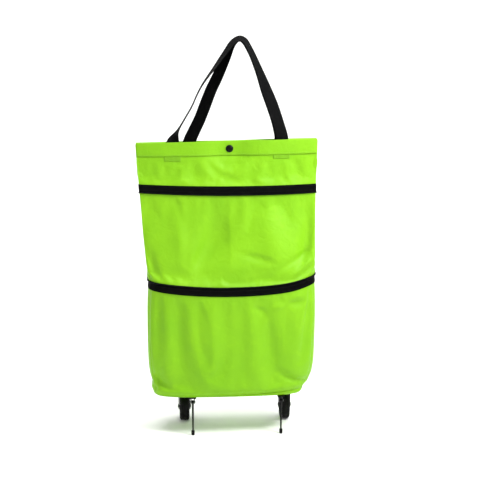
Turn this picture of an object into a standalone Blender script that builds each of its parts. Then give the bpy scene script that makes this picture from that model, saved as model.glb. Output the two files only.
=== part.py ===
"""Expandable shopping bag on two wheels: a fabric tote in three levels joined by an expansion zip.

Metres, +Z up. The floor is z = 0, the front faces -Y, and the bag's middle is x = 0, y = 0.
"""
import math

import bmesh
import bpy
from mathutils import Matrix, Vector

# Fabric body
CLOTH = 0.0012
GAP = 0.0003
GUSSET_HALF = 0.060          # half the width of a side gusset, laid flat
BASE_LOW = 0.0780            # underside of the base cloth
BASE_Z = 0.0800              # bottom edge of the walls
LOWER_Z = 0.2980             # top edge of the lower level
UPPER_Z = 0.4920             # bottom edge of the upper level
TOP_Z = 0.5850               # hem edge
LEVEL_GAP = 0.0010
SEAM = 0.0030                # a gusset's edge stays this far inside the panel's face
NOSE_SHARE = 0.2             # share of a gusset taken by the rounded nose of its fold

# Expansion zip: one half-tape on each level, sewn over the panels' edges
TAPE_WIDTH = 0.0180
TAPE_THICK = 0.0008
COIL_RADIUS = 0.0010

# Webbing carrying straps
STRAP_WIDTH = 0.025
STRAP_THICK = 0.0015
STRAP_SEWN_Z = 0.5560         # lower end of the webbing sewn inside the hem
STRAP_HINGE_Z = 0.5900
STRAP_START = 0.0017         # the loop starts just above its hinge line
STRAP_TOP_Z = 0.7900
STRAP_Y = 0.0070
FRONT_STRAP_X = 0.107
BACK_STRAP_X = 0.080

# Running gear under the base
PLATE_TOP = 0.0777
WHEEL_X = 0.104
WHEEL_Y = 0.040
WHEEL_RADIUS = 0.029
WHEEL_WIDTH = 0.020
FOLD_X = 0.098               # the wheel folds inward about a pin just inside its middle
FOLD_Z = 0.0660
LEG_X = 0.0885
LEG_Y = -0.055
LEG_PIVOT_Z = 0.0680
LEG_SPLAY = 0.005            # the foot stands this far in front of the pivot
RIVET_RADIUS = 0.0015

# Closing snap and zip slider
SNAP_Z = 0.5710
SNAP_CAP_RADIUS = 0.0074
SNAP_DISC_RADIUS = 0.0058
PINCH_BELOW = 0.0100         # the hem is fully drawn together from here up
PINCHED_HALF = 0.0045
SLIDER_X = -0.060

# Height, half width, corner half depth and middle half depth of the walls
STATIONS = (
    (0.080, 0.1500, 0.0600, 0.0640),
    (0.120, 0.1600, 0.0600, 0.0700),
    (0.180, 0.1655, 0.0600, 0.0752),
    (0.240, 0.1690, 0.0595, 0.0715),
    (0.298, 0.1670, 0.0570, 0.0660),
    (0.390, 0.1710, 0.0400, 0.0490),
    (0.492, 0.1757, 0.0175, 0.0255),
    (0.545, 0.1780, 0.0090, 0.0140),
    (0.585, 0.1800, 0.0065, 0.0105),
)

for old in list(bpy.data.objects):
    bpy.data.objects.remove(old, do_unlink=True)

parts = bpy.data.collections.new("wheeled_shopping_bag")
cutters = bpy.data.collections.new("cutters")
bpy.context.scene.collection.children.link(parts)
bpy.context.scene.collection.children.link(cutters)


def material(name, color, roughness, metallic=0.0):
    mat = bpy.data.materials.get(name)
    if mat is None:
        mat = bpy.data.materials.new(name)
        mat.use_nodes = True
        shader = mat.node_tree.nodes["Principled BSDF"]
        shader.inputs["Base Color"].default_value = (*color, 1.0)
        shader.inputs["Roughness"].default_value = roughness
        shader.inputs["Metallic"].default_value = metallic
    return mat


def lime_cloth():
    return material("lime_oxford", (0.33, 0.74, 0.04), 0.55)


def black_tape():
    return material("black_zip_tape", (0.006, 0.006, 0.007), 0.8)


def black_webbing():
    return material("black_webbing", (0.005, 0.005, 0.006), 0.85)


def black_plastic():
    return material("black_plastic", (0.012, 0.012, 0.013), 0.45)


def black_rubber():
    return material("black_rubber", (0.015, 0.015, 0.015), 0.8)


def grey_board():
    return material("grey_board", (0.05, 0.05, 0.05), 0.7)


def steel():
    return material("zinc_steel", (0.45, 0.45, 0.46), 0.35, 1.0)


# ---------- building helpers ----------

def add_object(name, mesh, mat):
    obj = bpy.data.objects.new(name, mesh)
    parts.objects.link(obj)
    if mat is not None:
        mesh.materials.clear()
        mesh.materials.append(mat)
    return obj


def mesh_from(bm, name):
    mesh = bpy.data.meshes.new(name)
    bm.to_mesh(mesh)
    bm.free()
    return mesh


def smooth_round(obj, angle=35.0):
    obj.data.shade_smooth()
    obj.data.set_sharp_from_angle(angle=math.radians(angle))


def box(name, low, high, mat):
    bm = bmesh.new()
    bmesh.ops.create_cube(bm, size=1.0)
    size = [b - a for a, b in zip(low, high)]
    middle = [(a + b) / 2 for a, b in zip(low, high)]
    bmesh.ops.scale(bm, vec=size, verts=bm.verts)
    bmesh.ops.translate(bm, vec=middle, verts=bm.verts)
    return add_object(name, mesh_from(bm, name), mat)


def rod(name, start, end, radius, mat, end_radius=None, sides=16):
    """A cylinder or cone between two points."""
    start = Vector(start)
    end = Vector(end)
    along = end - start
    bm = bmesh.new()
    far = radius if end_radius is None else end_radius
    bmesh.ops.create_cone(bm, cap_ends=True, segments=sides, radius1=radius, radius2=far,
                          depth=along.length)
    turn = Vector((0, 0, 1)).rotation_difference(along.normalized()).to_matrix().to_4x4()
    bmesh.ops.transform(bm, matrix=Matrix.Translation((start + end) / 2) @ turn, verts=bm.verts)
    obj = add_object(name, mesh_from(bm, name), mat)
    smooth_round(obj)
    return obj


def combine(obj, other, operation):
    """Joins, or cuts with, another object, which then stays only as a guide."""
    cutters.objects.link(other)
    parts.objects.unlink(other)
    other.hide_render = True
    other.display_type = "WIRE"
    step = obj.modifiers.new(operation.lower(), "BOOLEAN")
    step.operation = operation
    step.object = other
    step.solver = "EXACT"


def turned(name, profile, centre, axis, mat, steps=32, ring=True):
    """A profile of (radius, height) points, top to bottom, turned about an axis through centre.

    A ring's profile closes on itself, and any other profile starts and ends on the axis.
    """
    bm = bmesh.new()
    points = [bm.verts.new((r, 0, h)) for r, h in profile]
    nexts = points[1:] + points[:1] if ring else points[1:]
    for a, b in zip(points, nexts):
        bm.edges.new((a, b))
    obj = add_object(name, mesh_from(bm, name), mat)
    screw = obj.modifiers.new("turn", "SCREW")
    screw.steps = steps
    screw.render_steps = steps
    screw.use_merge_vertices = True
    screw.merge_threshold = 0.00005
    turn = Vector((0, 0, 1)).rotation_difference(Vector(axis)).to_matrix().to_4x4()
    obj.matrix_world = Matrix.Translation(centre) @ turn
    smooth_round(obj)
    return obj


def tube(name, points, radius, mat, sides_resolution=1, cyclic=True):
    curve = bpy.data.curves.new(name, "CURVE")
    curve.dimensions = "3D"
    curve.bevel_depth = radius
    curve.bevel_resolution = sides_resolution
    curve.use_fill_caps = True
    line = curve.splines.new("POLY")
    line.points.add(len(points) - 1)
    for point, where in zip(line.points, points):
        point.co = (*where, 1.0)
    line.use_cyclic_u = cyclic
    curve.materials.append(mat)
    obj = bpy.data.objects.new(name, curve)
    parts.objects.link(obj)
    return obj


# ---------- the walls' shape ----------

def station_sizes(station):
    """Half width, corner half depth, middle half depth, gusset fold and the fold's nose."""
    _, width, corner, middle = station
    fold = math.sqrt(max(0.0, GUSSET_HALF ** 2 - corner ** 2))
    nose = min(0.006, (corner - SEAM) * 0.7)
    return width, corner, middle, fold, nose


def wall_sizes(z):
    """The walls' sizes at a height, straight between the stations."""
    for low, high in zip(STATIONS, STATIONS[1:]):
        if z <= high[0]:
            t = max(0.0, (z - low[0]) / (high[0] - low[0]))
            pairs = zip(station_sizes(low), station_sizes(high))
            return tuple(a + (b - a) * t for a, b in pairs)
    return station_sizes(STATIONS[-1])


def panel_point(across, z, side):
    """Outer face of the front (side -1) or back (side +1) panel, across from -1 to 1."""
    width, corner, middle, _, _ = wall_sizes(z)
    depth = corner + (middle - corner) * (1.0 - abs(across) ** 2.4)
    return Vector((width * across, side * depth, z))


def gusset_point(across, z, side):
    """Outer face of a side gusset, which folds inward where the bag is thin."""
    width, corner, _, fold, nose = wall_sizes(z)
    away = abs(across)
    along_leg = max(0.0, (away - NOSE_SHARE) / (1.0 - NOSE_SHARE))
    depth = nose * min(1.0, away / NOSE_SHARE) + (corner - SEAM - nose) * along_leg
    return Vector((side * (width - fold * (1.0 - along_leg)), math.copysign(depth, across), z))


def sheet(name, rows, mat, thickness=CLOTH, offset=-1.0, closed=False):
    """A lofted sheet from rows of points, given thickness by Solidify."""
    bm = bmesh.new()
    grid = [[bm.verts.new(p) for p in row] for row in rows]
    for low, high in zip(grid, grid[1:]):
        count = len(low)
        for i in range(count if closed else count - 1):
            j = (i + 1) % count
            bm.faces.new((low[i], low[j], high[j], high[i]))
    bm.normal_update()
    obj = add_object(name, mesh_from(bm, name), mat)
    solid = obj.modifiers.new("thickness", "SOLIDIFY")
    solid.thickness = thickness
    solid.offset = offset
    solid.use_even_offset = True
    obj.data.shade_smooth()
    return obj


ACROSS = [math.sin(math.pi / 2 * i / 5) for i in range(-5, 6)]
GUSSET_ACROSS = [-1.0, -0.7, -0.4, -0.2, 0.0, 0.2, 0.4, 0.7, 1.0]


def heights(low, high):
    """Rows at both ends, and between them at each station and each edge of the zip's tapes."""
    edges = [z + side * TAPE_WIDTH / 2 for z in (LOWER_Z, UPPER_Z) for side in (-1, 1)]
    rows = sorted([s[0] for s in STATIONS] + edges + [SNAP_Z - PINCH_BELOW])
    return [low, *[z for z in rows if low + 0.004 < z < high - 0.004], high]


def pinched(point, side):
    """The closed snap draws the middle of the hem together."""
    near = math.exp(-((max(0.0, abs(point.x) - 0.010) / 0.030) ** 2))
    start = STATIONS[-2][0]
    height = (point.z - start) / (SNAP_Z - PINCH_BELOW - start)
    point.y -= side * (abs(point.y) - PINCHED_HALF) * near * min(1.0, max(0.0, height))
    return point


def wall_level(prefix, low, high):
    for side, word in ((-1, "front"), (1, "back")):
        columns = ACROSS if side < 0 else ACROSS[::-1]
        if high > UPPER_Z + 0.02:
            columns = [c for c in columns if abs(c) > 0.05]
            columns = sorted(columns + [-0.15, -0.055, 0.055, 0.15], reverse=side > 0)
        rows = [[panel_point(c, z, side) for c in columns] for z in heights(low, high)]
        if high > UPPER_Z + 0.02:
            rows = [[pinched(p, side) for p in row] for row in rows]
        sheet(f"{prefix}_{word}_panel", rows, lime_cloth())
    for side, word in ((-1, "left"), (1, "right")):
        columns = GUSSET_ACROSS if side > 0 else GUSSET_ACROSS[::-1]
        rows = [[gusset_point(c, z, side) for c in columns] for z in heights(low, high)]
        sheet(f"{prefix}_{word}_gusset", rows, lime_cloth())


def outline(z, out):
    """The walls' outer outline at a height, grown outward, anticlockwise from above."""
    across = ACROSS[1:-1]
    width, corner, _, _, _ = wall_sizes(z)
    loop = [Vector((-width, -corner, z))]
    loop += [panel_point(a, z, -1) for a in across]
    loop += [Vector((width, -corner, z))]
    loop += [gusset_point(a, z, 1) for a in GUSSET_ACROSS]
    loop += [Vector((width, corner, z))]
    loop += [panel_point(-a, z, 1) for a in across]
    loop += [Vector((-width, corner, z))]
    loop += [gusset_point(-a, z, -1) for a in GUSSET_ACROSS]
    grown = []
    for before, here, after in zip(loop[-1:] + loop[:-1], loop, loop[1:] + loop[:1]):
        first = (here - before).normalized()
        second = (after - here).normalized()
        normal = Vector((first.y + second.y, -first.x - second.x, 0)).normalized()
        stretch = max(0.5, normal.dot(Vector((first.y, -first.x, 0))))
        grown.append(here + normal * out / stretch)
    return grown


def zip_half(prefix, low, high, coil_z):
    out = GAP + 0.0003
    rows = [outline(z, out) for z in (low, (low + high) / 2, high)]
    sheet(f"{prefix}_zip_tape", rows, black_tape(),
          thickness=TAPE_THICK, offset=1.0, closed=True)
    coil_out = out + TAPE_THICK + GAP + COIL_RADIUS
    tube(f"{prefix}_zip_coil", outline(coil_z, coil_out), COIL_RADIUS, black_plastic())


# ---------- fabric ----------

wall_level("lower", BASE_Z, LOWER_Z)
wall_level("middle", LOWER_Z + LEVEL_GAP, UPPER_Z - LEVEL_GAP)
wall_level("upper", UPPER_Z, TOP_Z)

lower_tape_top = LOWER_Z + TAPE_WIDTH / 2
upper_tape_low = UPPER_Z - TAPE_WIDTH / 2
zip_half("lower", LOWER_Z - TAPE_WIDTH / 2, lower_tape_top, lower_tape_top - COIL_RADIUS)
zip_half("upper", upper_tape_low, UPPER_Z + TAPE_WIDTH / 2, upper_tape_low + COIL_RADIUS)


# ---------- base: fabric bottom, loose stiff board and rivets ----------

def rounded_slab(name, half_x, half_y, low, high, radius, mat):
    slab = box(name, (-half_x, -half_y, low), (half_x, half_y, high), mat)
    bm = bmesh.new()
    bm.from_mesh(slab.data)
    upright = [e for e in bm.edges if abs(e.verts[0].co.z - e.verts[1].co.z) > 0.0001]
    bmesh.ops.bevel(bm, geom=upright, offset=radius, segments=4, affect="EDGES", profile=0.5)
    bm.to_mesh(slab.data)
    bm.free()
    return slab


BASE_TOP = BASE_LOW + CLOTH
BASE_HALF = (0.1500, 0.0610)
RIVET_HEAD = 0.0012
BOARD_LOW = BASE_TOP + GAP + RIVET_HEAD + GAP         # the loose board lies on the rivets' heads
BOARD_HALF = (0.1450, 0.0575)
BOARD_THICK = 0.0025

base_panel = rounded_slab("base_panel", *BASE_HALF, BASE_LOW, BASE_TOP, 0.010, lime_cloth())
rounded_slab("base_board", *BOARD_HALF, BOARD_LOW, BOARD_LOW + BOARD_THICK, 0.008, grey_board())

WHEEL_RIVETS = ((0.0, -0.0240), (0.0072, 0.0120))     # inward of the pin, behind the axle
LEG_RIVET = 0.0160                                   # behind the leg's pivot
rivet_places = []
for side in (-1, 1):
    for inward, behind in WHEEL_RIVETS:
        rivet_places.append((side * (FOLD_X - inward), WHEEL_Y + behind, PLATE_TOP - 0.0035))
    rivet_places.append((side * LEG_X, LEG_Y + LEG_RIVET, PLATE_TOP - 0.0020))


def drill(obj, x, y):
    hole = rod("hole", (x, y, 0.060), (x, y, 0.100), RIVET_RADIUS + GAP, None, sides=12)
    combine(obj, hole, "DIFFERENCE")


for x, y, _ in rivet_places:
    drill(base_panel, x, y)

for number, (x, y, low) in enumerate(rivet_places, 1):
    shank = RIVET_RADIUS
    bottom = low - GAP
    top = BASE_TOP + GAP
    head = 0.0028
    profile = [(0.0, top + RIVET_HEAD), (head * 0.6, top + 0.0010), (head, top), (shank, top),
               (shank, bottom), (head, bottom), (head * 0.6, bottom - 0.0010),
               (0.0, bottom - RIVET_HEAD)]
    turned(f"base_rivet_{number}", profile, (x, y, 0.0), (0, 0, 1), steel(), steps=12, ring=False)


# ---------- wheels on folding forks ----------

PIN_RADIUS = 0.0020
LUG_AT = 0.0170
LUG_THICK = 0.0030
KNUCKLE_HALF = LUG_AT - LUG_THICK / 2 - GAP
CHEEK = 0.0018
CHEEK_CLEAR = 0.0005
PLATE_LOW = PLATE_TOP - 0.0035
AXLE_RADIUS = 0.0025
AXLE_Z = WHEEL_RADIUS

for side, word in ((-1, "left"), (1, "right")):
    pin_x = side * FOLD_X
    wheel_x = side * WHEEL_X

    bracket = box(f"{word}_wheel_bracket", (pin_x - 0.011, WHEEL_Y - 0.0285, PLATE_LOW),
                  (pin_x + 0.011, WHEEL_Y + 0.0195, PLATE_TOP), black_plastic())
    for end in (-1, 1):
        y = WHEEL_Y + end * LUG_AT
        half = LUG_THICK / 2
        web = box("lug_web", (pin_x - 0.005, y - half, FOLD_Z), (pin_x + 0.005, y + half, PLATE_LOW + 0.001),
                  None)
        eye = rod("lug_eye", (pin_x, y - half, FOLD_Z), (pin_x, y + half, FOLD_Z), 0.005, None)
        combine(bracket, web, "UNION")
        combine(bracket, eye, "UNION")
    stop_low = FOLD_Z - 0.0016
    stop_x = sorted((side * 0.1072, side * 0.1089))
    stop = box("stop", (stop_x[0], WHEEL_Y - 0.008, stop_low), (stop_x[1], WHEEL_Y + 0.008, PLATE_LOW + 0.001),
               None)
    combine(bracket, stop, "UNION")
    pin_hole = rod("pin_hole", (pin_x, WHEEL_Y - 0.03, FOLD_Z), (pin_x, WHEEL_Y + 0.03, FOLD_Z),
                   PIN_RADIUS + GAP, None, sides=12)
    combine(bracket, pin_hole, "DIFFERENCE")
    for inward, behind in WHEEL_RIVETS:
        drill(bracket, side * (FOLD_X - inward), WHEEL_Y + behind)

    pin_end = LUG_AT + LUG_THICK / 2 + GAP
    pin = rod(f"{word}_wheel_hinge_pin", (pin_x, WHEEL_Y - pin_end, FOLD_Z),
              (pin_x, WHEEL_Y + pin_end, FOLD_Z), PIN_RADIUS, steel(), sides=12)
    for end in (-1, 1):
        head = rod("pin_head", (pin_x, WHEEL_Y + end * pin_end, FOLD_Z),
                   (pin_x, WHEEL_Y + end * (pin_end + 0.0010), FOLD_Z), 0.0032, None, sides=12)
        combine(pin, head, "UNION")

    fork = rod(f"{word}_fork", (pin_x, WHEEL_Y - KNUCKLE_HALF, FOLD_Z),
               (pin_x, WHEEL_Y + KNUCKLE_HALF, FOLD_Z), 0.0043, black_plastic())
    half_wheel = WHEEL_WIDTH / 2 + CHEEK_CLEAR
    crown = box("crown", (wheel_x - half_wheel - CHEEK, WHEEL_Y - 0.011, 0.0603),
                (wheel_x + half_wheel + CHEEK, WHEEL_Y + 0.011, 0.0635), None)
    combine(fork, crown, "UNION")
    for inner, outer in ((half_wheel, half_wheel + CHEEK), (-half_wheel - CHEEK, -half_wheel)):
        cheek = box("cheek", (wheel_x + inner, WHEEL_Y - 0.0075, AXLE_Z),
                    (wheel_x + outer, WHEEL_Y + 0.0075, 0.0615), None)
        lobe = rod("lobe", (wheel_x + inner, WHEEL_Y, AXLE_Z), (wheel_x + outer, WHEEL_Y, AXLE_Z), 0.0075,
                   None, sides=20)
        combine(fork, cheek, "UNION")
        combine(fork, lobe, "UNION")
    knuckle_hole = rod("knuckle_hole", (pin_x, WHEEL_Y - 0.03, FOLD_Z), (pin_x, WHEEL_Y + 0.03, FOLD_Z),
                       PIN_RADIUS + GAP, None, sides=12)
    axle_hole = rod("axle_hole", (wheel_x - 0.03, WHEEL_Y, AXLE_Z), (wheel_x + 0.03, WHEEL_Y, AXLE_Z),
                    AXLE_RADIUS + GAP, None, sides=12)
    combine(fork, knuckle_hole, "DIFFERENCE")
    combine(fork, axle_hole, "DIFFERENCE")

    axle_end = half_wheel + CHEEK + GAP
    axle = rod(f"{word}_axle", (wheel_x - axle_end, WHEEL_Y, AXLE_Z), (wheel_x + axle_end, WHEEL_Y, AXLE_Z),
               AXLE_RADIUS, steel(), sides=12)
    for end in (-1, 1):
        head = rod("axle_head", (wheel_x + end * axle_end, WHEEL_Y, AXLE_Z),
                   (wheel_x + end * (axle_end + 0.0012), WHEEL_Y, AXLE_Z), 0.0042, None, sides=12)
        combine(axle, head, "UNION")

    half = WHEEL_WIDTH / 2
    rim_radius = 0.0230
    bore = AXLE_RADIUS + GAP
    rim_profile = [(0.0080, half), (0.0080, half - 0.0035), (0.0195, half - 0.0035), (0.0195, half - 0.0015),
                   (rim_radius, half - 0.0015), (rim_radius, -half + 0.0015), (0.0195, -half + 0.0015),
                   (0.0195, -half + 0.0035), (0.0080, -half + 0.0035), (0.0080, -half), (bore, -half),
                   (bore, half)]
    turned(f"{word}_wheel_rim", rim_profile, (wheel_x, WHEEL_Y, AXLE_Z), (1, 0, 0), black_plastic())
    inner = rim_radius + GAP
    outer = WHEEL_RADIUS
    tyre_profile = [(inner, half - 0.0010), (outer - 0.0035, half), (outer - 0.0010, half - 0.0012),
                    (outer, half - 0.0040), (outer, -half + 0.0040), (outer - 0.0010, -half + 0.0012),
                    (outer - 0.0035, -half), (inner, -half + 0.0010)]
    turned(f"{word}_tyre", tyre_profile, (wheel_x, WHEEL_Y, AXLE_Z), (1, 0, 0), black_rubber(), steps=40)


# ---------- folding front legs ----------

LEG_PLATE_LOW = PLATE_TOP - 0.0020
LEG_LUG_IN = 0.0027
LEG_LUG_OUT = 0.0042
LEG_PIN_RADIUS = 0.0013
FOOT_TOP = 0.0100

for side, word in ((-1, "left"), (1, "right")):
    x = side * LEG_X
    bracket = box(f"{word}_leg_bracket", (x - 0.007, LEG_Y - 0.0055, LEG_PLATE_LOW),
                  (x + 0.007, LEG_Y + 0.0230, PLATE_TOP), black_plastic())
    for inner, outer in ((-LEG_LUG_OUT, -LEG_LUG_IN), (LEG_LUG_IN, LEG_LUG_OUT)):
        web = box("leg_web", (x + inner, LEG_Y - 0.0038, LEG_PIVOT_Z),
                  (x + outer, LEG_Y + 0.0038, LEG_PLATE_LOW + 0.001), None)
        eye = rod("leg_eye", (x + inner, LEG_Y, LEG_PIVOT_Z), (x + outer, LEG_Y, LEG_PIVOT_Z), 0.0038, None)
        combine(bracket, web, "UNION")
        combine(bracket, eye, "UNION")
    hole = rod("leg_pin_hole", (x - 0.02, LEG_Y, LEG_PIVOT_Z), (x + 0.02, LEG_Y, LEG_PIVOT_Z),
               LEG_PIN_RADIUS + GAP, None, sides=12)
    combine(bracket, hole, "DIFFERENCE")
    drill(bracket, x, LEG_Y + LEG_RIVET)

    pin = rod(f"{word}_leg_pin", (x - LEG_LUG_OUT - GAP, LEG_Y, LEG_PIVOT_Z),
              (x + LEG_LUG_OUT + GAP, LEG_Y, LEG_PIVOT_Z), LEG_PIN_RADIUS, steel(), sides=12)
    for end in (-1, 1):
        head_x = x + end * (LEG_LUG_OUT + GAP)
        head = rod("leg_pin_head", (head_x, LEG_Y, LEG_PIVOT_Z), (head_x + end * 0.0008, LEG_Y, LEG_PIVOT_Z),
                   0.0022, None, sides=12)
        combine(pin, head, "UNION")

    foot_y = LEG_Y - LEG_SPLAY
    slope = LEG_SPLAY / LEG_PIVOT_Z
    leg = rod(f"{word}_leg", (x, LEG_Y, LEG_PIVOT_Z),
              (x, foot_y + slope * 0.004, 0.004), 0.0022, black_plastic(), end_radius=0.0016, sides=12)
    eye = rod("rod_eye", (x - LEG_LUG_IN + GAP, LEG_Y, LEG_PIVOT_Z), (x + LEG_LUG_IN - GAP, LEG_Y, LEG_PIVOT_Z),
              0.0036, None)
    hole = rod("rod_hole", (x - 0.02, LEG_Y, LEG_PIVOT_Z), (x + 0.02, LEG_Y, LEG_PIVOT_Z),
               LEG_PIN_RADIUS + GAP, None, sides=12)
    combine(leg, eye, "UNION")
    combine(leg, hole, "DIFFERENCE")

    cap_y = foot_y + slope * 0.005
    cap_profile = [(0.0, FOOT_TOP), (0.0028, FOOT_TOP), (0.0033, FOOT_TOP - 0.0015), (0.0033, 0.0012),
                   (0.0026, 0.0), (0.0, 0.0)]
    foot = turned(f"{word}_foot", cap_profile, (x, cap_y, 0.0), (0, 0, 1), black_rubber(), steps=16,
                  ring=False)
    socket = rod("foot_socket", (x, foot_y + slope * 0.0034, 0.0034), (x, foot_y + slope * 0.014, 0.014),
                 0.0021, None, end_radius=0.0022, sides=12)
    combine(foot, socket, "DIFFERENCE")


# ---------- snap fastener at the mouth ----------

def disc(name, y_from, y_to, radius, mat, end_radius=None):
    return rod(name, (0, y_from, SNAP_Z), (0, y_to, SNAP_Z), radius, mat, end_radius=end_radius, sides=24)


snap_wall = abs(pinched(panel_point(0.0, SNAP_Z, 1), 1).y)
inside = snap_wall - CLOTH - GAP
cap = disc("snap_cap", -snap_wall - GAP, -snap_wall - 0.0024, SNAP_CAP_RADIUS, black_plastic(), 0.0050)
post = disc("snap_post", snap_wall + GAP, snap_wall + 0.0018, 0.0060, black_plastic(), 0.0045)
socket = disc("snap_socket", -inside, -0.0003, SNAP_DISC_RADIUS, black_plastic())
combine(socket, disc("socket_hole", -inside + 0.0008, 0.002, 0.0026, None), "DIFFERENCE")
stud = disc("snap_stud", inside, 0.0004, SNAP_DISC_RADIUS, black_plastic())
combine(stud, disc("stud_knob", 0.001, -inside + 0.0014, 0.0021, None), "UNION")


# ---------- carrying straps ----------

def loop_path(half_span, steps=24):
    """Middle line of a strap's upright loop: two leaning legs joined by a tight round top."""
    top_radius = 0.017
    low = STRAP_HINGE_Z + STRAP_START
    top = STRAP_TOP_Z - STRAP_WIDTH / 2
    centre_z = top - top_radius
    lean = math.atan2(half_span - top_radius, centre_z - low)
    path = [(-half_span, low)]
    for i in range(steps + 1):
        angle = math.pi - lean * 0.9 - (math.pi - 1.8 * lean) * i / steps
        path.append((top_radius * math.cos(angle), centre_z + top_radius * math.sin(angle)))
    path.append((half_span, low))
    return path


def strap(name, half_span, y):
    path = [Vector(p) for p in loop_path(half_span)]
    outer = []
    inner = []
    for i, here in enumerate(path):
        before = path[max(0, i - 1)]
        after = path[min(len(path) - 1, i + 1)]
        along = (after - before).normalized()
        across = Vector((-along.y, along.x)) * STRAP_WIDTH / 2
        if i in (0, len(path) - 1):
            across = Vector((math.copysign(STRAP_WIDTH / 2, across.x), 0))
        outer.append(here + across)
        inner.append(here - across)
    rows = [[(p.x, y, p.y) for p in line] for line in (inner, outer)]
    return sheet(name, rows, black_webbing(), thickness=STRAP_THICK, offset=0.0)


strap("front_strap", FRONT_STRAP_X, -STRAP_Y)
strap("back_strap", BACK_STRAP_X, STRAP_Y)

for side_y, word, span in ((-1, "front", FRONT_STRAP_X), (1, "back", BACK_STRAP_X)):
    for side_x, end in ((-1, "left"), (1, "right")):
        x = side_x * span
        edge = wall_sizes(TOP_Z)[0]
        low_wall = abs(panel_point((abs(x) + STRAP_WIDTH / 2) / edge, TOP_Z, side_y).y)
        face = low_wall - CLOTH - GAP
        y_pair = sorted((side_y * face, side_y * (face - STRAP_THICK)))
        box(f"{word}_strap_{end}_end", (x - STRAP_WIDTH / 2, y_pair[0], STRAP_SEWN_Z),
            (x + STRAP_WIDTH / 2, y_pair[1], STRAP_HINGE_Z - 0.0030), black_webbing())


# ---------- slider parked on the lower half of the zip, at the back ----------

slider_z = lower_tape_top - 0.0045
slider_y = panel_point(0.0, slider_z, 1).y + GAP + 0.0003 + TAPE_THICK + 2 * COIL_RADIUS + 2 * GAP + 0.0008
slider = box("zip_slider", (SLIDER_X - 0.0060, slider_y, slider_z - 0.0050),
             (SLIDER_X + 0.0060, slider_y + 0.0022, slider_z + 0.0050), steel())
pull_y = slider_y + 0.0022 + 0.0014
for end in (-1, 1):
    x_pair = sorted((SLIDER_X + end * 0.0024, SLIDER_X + end * 0.0036))
    lug = box("slider_lug", (x_pair[0], slider_y + 0.001, slider_z - 0.0022),
              (x_pair[1], pull_y + 0.0012, slider_z + 0.0022), None)
    combine(slider, lug, "UNION")
pull = rod("zip_pull", (SLIDER_X - 0.0021, pull_y, slider_z), (SLIDER_X + 0.0021, pull_y, slider_z), 0.0009,
           steel(), sides=12)
blade = box("pull_blade", (SLIDER_X - 0.0019, pull_y - 0.0006, slider_z - 0.0140),
            (SLIDER_X + 0.0019, pull_y + 0.0006, slider_z), None)
tab = box("pull_tab", (SLIDER_X - 0.0045, pull_y - 0.0006, slider_z - 0.0300),
          (SLIDER_X + 0.0045, pull_y + 0.0006, slider_z - 0.0120), None)
combine(pull, blade, "UNION")
combine(pull, tab, "UNION")
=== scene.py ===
import math

import bmesh
import bpy
import numpy as np
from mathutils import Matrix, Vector


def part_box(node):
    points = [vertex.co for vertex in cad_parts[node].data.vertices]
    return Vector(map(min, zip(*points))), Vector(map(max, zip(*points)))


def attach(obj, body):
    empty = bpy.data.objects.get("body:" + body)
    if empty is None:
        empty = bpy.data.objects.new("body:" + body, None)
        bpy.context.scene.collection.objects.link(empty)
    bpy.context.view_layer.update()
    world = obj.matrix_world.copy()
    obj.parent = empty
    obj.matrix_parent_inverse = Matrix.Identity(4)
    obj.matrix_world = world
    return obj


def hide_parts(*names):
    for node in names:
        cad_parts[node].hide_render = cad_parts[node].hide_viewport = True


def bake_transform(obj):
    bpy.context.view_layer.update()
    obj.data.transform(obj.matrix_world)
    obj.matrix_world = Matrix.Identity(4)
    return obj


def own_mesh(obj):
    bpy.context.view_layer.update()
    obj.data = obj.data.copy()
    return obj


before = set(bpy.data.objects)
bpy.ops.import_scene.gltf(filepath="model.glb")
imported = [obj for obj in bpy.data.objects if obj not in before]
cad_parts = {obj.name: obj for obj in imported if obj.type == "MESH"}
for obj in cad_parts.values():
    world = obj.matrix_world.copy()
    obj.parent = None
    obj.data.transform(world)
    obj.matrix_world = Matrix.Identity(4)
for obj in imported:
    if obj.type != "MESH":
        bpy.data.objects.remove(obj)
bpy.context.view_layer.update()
scene = bpy.context.scene

# ---------- Studio ----------
# A round pale floor that sweeps up into a wall on every side, a small bright lamp close by on
# the right, three broad ones further off, and a long lens.

PAPER_WHITE = (0.93, 0.93, 0.92)
PAPER_REACH = 4.6
PAPER_BEND = 1.4
PAPER_TOP = 4.2
PAPER_SIDES = 72
PAPER_BEND_STEPS = 10

paper_line = [(0.0, 0.0), (1.0, 0.0), (PAPER_REACH - PAPER_BEND, 0.0)]
for step in range(1, PAPER_BEND_STEPS + 1):
    turn = math.pi / 2 * step / PAPER_BEND_STEPS
    paper_line.append((PAPER_REACH - PAPER_BEND + PAPER_BEND * math.sin(turn),
                       PAPER_BEND - PAPER_BEND * math.cos(turn)))
paper_line.append((PAPER_REACH, PAPER_TOP))
paper_mesh = bmesh.new()
paper_rings = [[paper_mesh.verts.new((0.0, 0.0, 0.0))]]
paper_angles = [2 * math.pi * k / PAPER_SIDES for k in range(PAPER_SIDES)]
for reach, height in paper_line[1:]:
    paper_rings.append([paper_mesh.verts.new((reach * math.sin(turn), reach * math.cos(turn), height))
                        for turn in paper_angles])
for k in range(PAPER_SIDES):
    m = (k + 1) % PAPER_SIDES
    paper_mesh.faces.new((paper_rings[0][0], paper_rings[1][m], paper_rings[1][k]))
    for inner, outer in zip(paper_rings[1:], paper_rings[2:]):
        paper_mesh.faces.new((inner[k], inner[m], outer[m], outer[k]))
paper = bpy.data.objects.new("paper_sweep", bpy.data.meshes.new("paper_sweep"))
paper_mesh.to_mesh(paper.data)
paper_mesh.free()
paper.data.shade_smooth()
scene.collection.objects.link(paper)


def new_material(name):
    """A fresh material, with its node tree and its Principled shader."""
    material = bpy.data.materials.new(name)
    material.use_nodes = True
    return material, material.node_tree, material.node_tree.nodes["Principled BSDF"]


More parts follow.
